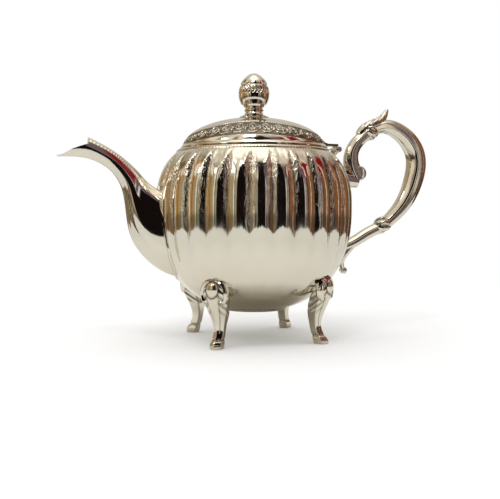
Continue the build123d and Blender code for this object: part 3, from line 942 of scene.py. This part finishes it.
def leg_relief(angle, z):
    """Leaf veins on the cheeks of the knee, a crease beside the crest and grooves over the toe."""
    cheek = step_up(np.abs(np.sin(angle)), 0.35, 0.75) * step_up(z, 20, 28) * step_up(46 - z, 0, 4)
    veins = ripple(1.15 * z + 7 * np.abs(angle)) ** 2
    crease = bell(np.abs(angle), 0.62, 0.07) * step_up(z, 9, 14) * step_up(40 - z, 0, 6)
    groove = bell(z, 6.4, 0.8) + 0.7 * bell(z, 3.4, 0.5) * step_up(np.cos(angle), 0, 0.6)
    return -0.55 * cheek * veins - 0.45 * crease - 0.5 * groove


def leg_parts(turn, around=128, along=150):
    """A leg in its own plane (out, side, up), turned to its place: section radius times depth and width.

    An oval boss sits on the knee, and a C-scroll runs from its top down each side and curls in. The
    mark sunk on the leg holds the patina of the relief's hollows and a ring of painted shade round the boss.
    """
    z, reach, depth, width = smooth_path(LEG_LEVELS, along).T
    angle = np.linspace(-math.pi, math.pi, around, endpoint=False)[:, None]
    radius = soft_polygon(angle, LEG_FACES, LEG_CRISP)
    relief = leg_relief(angle, z[None, :])
    out = reach + (depth * radius + relief) * np.cos(angle)
    side = (width * radius + relief) * np.sin(angle)
    shaft = closed_ends(np.stack([out, side, np.clip(z, 0, None) + 0 * angle], -1))
    # a ring of painted shade on the knee, just round the boss where it meets the leg; the relief's hollows
    # add patina
    boss_ring_shade = bell(np.hypot(side / 5.0, (z - BOSS_Z) / 5.8), 1, 0.14) * (np.cos(angle) > 0)
    sunk = np.pad(np.clip(boss_ring_shade - 1.3 * relief, 0, 1), ((0, 0), (1, 1)))
    forms = [("leg", shaft), ("boss", egg_shape((60.2, 0, BOSS_Z), (3.0, 4.5, 5.4)))]
    ear = bar_points(
        SCROLL_PATH,
        lambda t: 1.9 - 0.7 * t,
        lambda t: 3.4 - 1.2 * t,
        regular_faces(6), around=32, along=60,
    )
    for sign in (-1, 1):
        scroll = np.stack([SCROLL_REACH + ear[..., 1], sign * ear[..., 0], ear[..., 2]], -1)
        forms.append(("scroll", scroll))
    c, s = math.cos(turn), math.sin(turn)
    meshes = []
    for name, points in forms:
        out, side, up = points[..., 0], points[..., 1], points[..., 2]
        placed = np.stack([out * c - side * s, out * s + side * c, up], -1)
        meshes.append(surface(name, placed, sunk=sunk if name == "leg" else 0 * out))
    return meshes


for node, degrees in LEG_ANGLES.items():
    piece("cabriole_" + node, leg_parts(math.radians(degrees)), "pot", cast, node)

# %% [markdown]
# The hinge post leans out of the shoulder and ends in two small barrels, with the lid's own barrel
# between them. It could be one block with a slot filed in it, as a smith would make it, and so it is
# here: a bar is cut by a block, and two barrels are set on its prongs.

# %% the hinge post
HINGE_X = 65.5
HINGE_Z = 141.5
BARREL_RADIUS = 2.3
BARREL_HALF = 2.05
BARREL_ASIDE = 5.15
post = bar(
    "post", [(56.6, 131.6), (60.6, 135.4), (65.2, 140.6)],
    lambda t: 1.7 - 0.2 * t,
    lambda t: 6.6 + 0.4 * t,
    OCTAGON, along=16,
)
slot_block = prism("slot", [(61.6, 137.0), (70, 137.0), (70, 147), (58.5, 147), (58.5, 143)], 3.1)
post = cut(post, slot_block)
barrels = [
    roll("barrel", BARREL_RADIUS, BARREL_HALF, HINGE_X, HINGE_Z, aside=sign * BARREL_ASIDE)
    for sign in (-1, 1)
]
piece("hinge_post", [post, *barrels], "pot", cast, "hinge_bracket")

# %% [markdown]
# The bottom disc, the flange under the lid, the strap, the pin and the screw with its washer and nut
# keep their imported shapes, because they are flat or turned and look right as they are. They could be
# drawn again, but they only need their finish.

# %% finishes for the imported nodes
KEPT = {
    "bottom_plate": silver,
    "spout_collar": silver,
    "hinge_pin": silver,
    "lid_flange": silver,
    "lid_hinge_leaf": silver,
    "knob_stud": brass,
    "knob_washer": brass,
    "knob_nut": brass,
}
for node, finish in KEPT.items():
    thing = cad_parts[node]
    thing.data.materials.clear()
    thing.data.materials.append(finish)
print("kept nodes:", len(KEPT))

# %% [markdown]
# A mirror shows only what stands around it, so the studio is half of the finish. The pot stands on a
# small pale table, which the lower half of every curve reflects. A photograph of a room could be
# wrapped round it, but a few plain colours are enough for a curved mirror, and each can be moved until
# its reflection falls in the right place. The table comes first: white to the eye, ivory to the mirror,
# with a painted shadow close under the pot.

# %% the table
TABLE_RADIUS = 0.47
TABLE_BELOW = 0.00002
PAPER = (0.985, 0.985, 0.98, 1)
IVORY = (0.79, 0.78, 0.735, 1)
# what the mirror sees of the table, by how far out from the pot's middle, in metres; the two dark stops
# nearest the middle are a painted shadow under the pot
MIRRORED_TABLE_AND_SHADOW = [
    (0.028, (0.42, 0.385, 0.31, 1)),
    (0.045, (0.52, 0.48, 0.40, 1)),
    (0.072, (0.98, 0.96, 0.90, 1)),
    (0.26, IVORY),
]


def ragged(angle):
    """The table's edge as a cloth would leave it: its reach varies by a tenth, in uneven points."""
    return 1 + 0.05 * np.sin(7 * angle + 1) + 0.06 * np.abs(np.sin(8.5 * angle)) + 0.03 * np.sin(31 * angle)


def disc(name, radius, height):
    """A flat sheet at one height, as a fan of quads between its middle and its ragged edge."""
    angle = turns(512)
    r = np.array([0.0, radius / MM])[None, :] * ragged(angle)
    return surface(name, round_axis(r, height / MM, angle))


def studio_piece(name, mesh, material):
    """An object that belongs to the studio and not to the pot."""
    mesh.materials.append(material)
    thing = bpy.data.objects.new(name, mesh)
    bpy.context.scene.collection.objects.link(thing)
    return thing


def table_material():
    """Matt white to the eye; the mirror sees it as ivory, with a painted shadow that darkens it close under
    the pot.
    """
    shader = Shader("pale_table")
    straight = shader.node("ShaderNodeLightPath")
    x, y, _ = shader.place_parts()
    # the table's colour for the mirror, darkened near the middle by a painted shadow under the pot
    reflected_with_painted_shadow = shader.ramp((x * x + y * y) ** 0.5, MIRRORED_TABLE_AND_SHADOW)
    shader.feed(Base_Color=shader.mix(straight, reflected_with_painted_shadow, PAPER), Roughness=0.9, Specular_IOR_Level=0.0)
    return shader.material


studio_piece("table_top", disc("table_top", TABLE_RADIUS, -TABLE_BELOW), table_material())
print("the table reaches", TABLE_RADIUS, "m")

# %% [markdown]
# Round the table hangs a room of cards that only reflections see: a tall dark panel straight ahead,
# brown and tan ones at the sides, a red one high on the right, pale strips between them, and a pale
# ceiling with a skylight. Each card could be a sheet of its own, but one ball with a colour for each
# direction has no gaps. The camera looks past it into plain white, which also gives the even light.

# %% the room of cards
CAMERA_YAW = math.radians(17)
ROOM_RADIUS = 1.5
ROOM_LOW = -0.02
PANEL_ASIDE = 0.018
PANEL_HALF_TURN = 29
PANEL_TOP = 0.93
BLACK = (0.008, 0.005, 0.005, 1)
SOOT = (0.045, 0.034, 0.022, 1)
OLIVE = (0.17, 0.15, 0.095, 1)
STONE = (0.42, 0.38, 0.28, 1)
CREAM = (1.5, 1.25, 0.95, 1)
TAN = (0.50, 0.29, 0.11, 1)
BROWN = (0.27, 0.11, 0.045, 1)
RED = (0.26, 0.012, 0.018, 1)
BLUE = (0.16, 0.17, 0.42, 1)
SLATE = (0.17, 0.135, 0.15, 1)
PEARL = (1.0, 0.88, 0.74, 1)
CEILING = (0.68, 0.64, 0.54, 1)
MIST = (0.62, 0.59, 0.52, 1)
SKYLIGHT = (1.7, 1.6, 1.45, 1)


def room_mesh(around=512, along=48):
    """A ball round the pot, open below at the table's edge: radius fixed, height from latitude."""
    angle = turns(around)
    latitude = np.linspace(math.asin(ROOM_LOW / ROOM_RADIUS), math.pi / 2, along)[None, :]
    r = ROOM_RADIUS * np.cos(latitude) / MM + 0 * angle
    z = ROOM_RADIUS * np.sin(latitude) / MM
    r = np.concatenate([TABLE_RADIUS / MM * ragged(angle), r], 1)
    z = np.concatenate([[[ROOM_LOW / MM]], z], 1)
    return surface("room_of_cards", round_axis(r, z, angle))


# each card: how far round from straight ahead in degrees (right is positive), and its colour
LOW_CARDS = [
    (-180, MIST), (-146, STONE), (-134, TAN), (-120, OLIVE), (-112, PEARL), (-104, TAN),
    (-84, OLIVE), (-76, TAN), (-60, STONE), (-48, PEARL), (-42, OLIVE), (-34, STONE),
    (29, BLUE), (34, PEARL), (38, SLATE), (47, PEARL), (49, SLATE), (58, SOOT),
    (64, BROWN), (88, PEARL), (92, BROWN), (120, SOOT), (130, BROWN), (142, MIST),
]
HIGH_CARDS = [
    (-180, MIST), (-142, STONE), (-122, OLIVE), (-106, TAN), (-90, PEARL), (-68, STONE),
    (-52, PEARL), (-38, OLIVE), (-30, PEARL), (-14, STONE), (-9, CREAM), (6, PEARL),
    (18, STONE), (26, SLATE), (47, RED), (55, PEARL), (62, RED), (84, PEARL),
    (90, STONE), (100, RED), (122, STONE), (142, MIST),
]


def room_material():
    """Cards by direction round the pot, broken by slow vertical folds, under a pale ceiling.

    The dark panel straight ahead is a tall rounded shape in direction and height: the square of one
    plus the fourth power of the other is under 1 inside it. Every lobe shows it as a dark lens.
    """
    shader = Shader("room_of_cards")
    x, y, z = shader.place_parts()
    ahead_x, ahead_y = -math.sin(CAMERA_YAW), -math.cos(CAMERA_YAW)
    front = x * ahead_x + y * ahead_y
    right = y * ahead_x - x * ahead_y
    turn = right.math("ARCTAN2", front) * (0.5 / math.pi) + 0.5
    folds = shader.noise(5.5, 3, stretch=(1, 1, 0.12)) - 0.5
    turn = turn + folds * 0.022

    low, high = (
        shader.ramp(turn, [((degrees + 180) / 360, colour) for degrees, colour in cards], "CONSTANT")
        for cards in (LOW_CARDS, HIGH_CARDS)
    )
    height = z * (1 / ROOM_RADIUS)
    upper = shader.ramp(height + folds * 0.1, [(0.50, grey(0)), (0.56, grey(1))])
    wall = shader.mix(upper, low, high)
    patches = shader.ramp(shader.noise(4, 2), [(0.42, CEILING), (0.60, PEARL)])
    ceiling = shader.ramp(height, [(0.76, grey(0)), (0.88, grey(1))])
    wall = shader.mix(ceiling, wall, patches)
    skylight = shader.ramp(height, [(0.925, grey(0)), (0.965, grey(1))])
    wall = shader.mix(skylight, wall, SKYLIGHT)
    skirting = shader.ramp(height + folds * 0.06, [(0.0, grey(1)), (0.035, grey(0))])
    wall = shader.mix(skirting * 0.6, wall, SOOT)
    aside = (turn - 0.5 - PANEL_ASIDE) * (360 / PANEL_HALF_TURN)
    tall = height * (1 / PANEL_TOP)
    panel = shader.ramp(aside * aside + tall**4.0, [(0.9, grey(1)), (1.0, grey(0))])
    wall = shader.mix(panel, wall, BLACK)
    glow = shader.node("ShaderNodeEmission", {}, {"Color": wall, "Strength": 1.0})
    shader.tree.links.new(glow.socket, shader.tree.nodes["Material Output"].inputs["Surface"])
    return shader.material


room = studio_piece("room_of_cards", room_mesh(), room_material())
room.visible_camera = False
room.visible_diffuse = False
room.visible_shadow = False
room.visible_transmission = False
print("cards round the room:", len(LOW_CARDS) + len(HIGH_CARDS))

# %% [markdown]
# The light is plain: a white world, and two small windows above that put a bright glint on the shoulder
# and the lid. Lamps alone could light the pot, but a mirror shows a lamp as a spot and nothing else.

# %% plain white light
AIM_Z = 0.12
world = bpy.data.worlds.new("studio")
bpy.context.scene.world = world
world.use_nodes = True
backdrop = world.node_tree.nodes["Background"]
backdrop.inputs["Color"].default_value = grey(1)
backdrop.inputs["Strength"].default_value = 1.0


def window(name, place, size, power):
    """A square soft light at a place, which looks at the pot."""
    data = bpy.data.lights.new(name, "AREA")
    data.size = size
    data.energy = power
    thing = bpy.data.objects.new(name, data)
    thing.location = place
    bpy.context.scene.collection.objects.link(thing)
    x, y, z = place
    tilt = math.atan2(math.hypot(x, y), z - AIM_Z)
    thing.rotation_euler = (tilt, 0, math.atan2(-y, -x) - math.pi / 2)


window("window_ahead", (-0.28, -0.55, 1.15), 0.26, 1.6)
window("window_left", (-0.95, -0.35, 0.95), 0.18, 0.8)
print("studio pieces: table, room, windows")

# %% [markdown]
# The photograph was taken from the height of the belly, with the camera tilted down a little, and the
# spout comes towards it by about seventeen degrees. The camera could be moved by eye, but its distance,
# height and tilt are numbers here, so that each was set until the render's outline met the photograph's.

# %% the camera
CAMERA_DISTANCE = 0.560
CAMERA_HEIGHT = 0.0964
CAMERA_PITCH = math.radians(3.1)
CAMERA_TURN = math.radians(0.3)
CAMERA_LENS = 54.0
SENSOR_WIDTH = 36.0

camera_data = bpy.data.cameras.new("camera")
camera_data.lens = CAMERA_LENS
camera_data.sensor_width = SENSOR_WIDTH
camera = bpy.data.objects.new("camera", camera_data)
camera.location = (
    -CAMERA_DISTANCE * math.sin(CAMERA_YAW),
    -CAMERA_DISTANCE * math.cos(CAMERA_YAW),
    CAMERA_HEIGHT,
)
camera.rotation_euler = (math.pi / 2 - CAMERA_PITCH, 0, -CAMERA_YAW + CAMERA_TURN)
bpy.context.scene.collection.objects.link(camera)
bpy.context.scene.camera = camera
bpy.context.scene.view_settings.view_transform = "Standard"
print("camera at:", [round(value, 3) for value in camera.location])
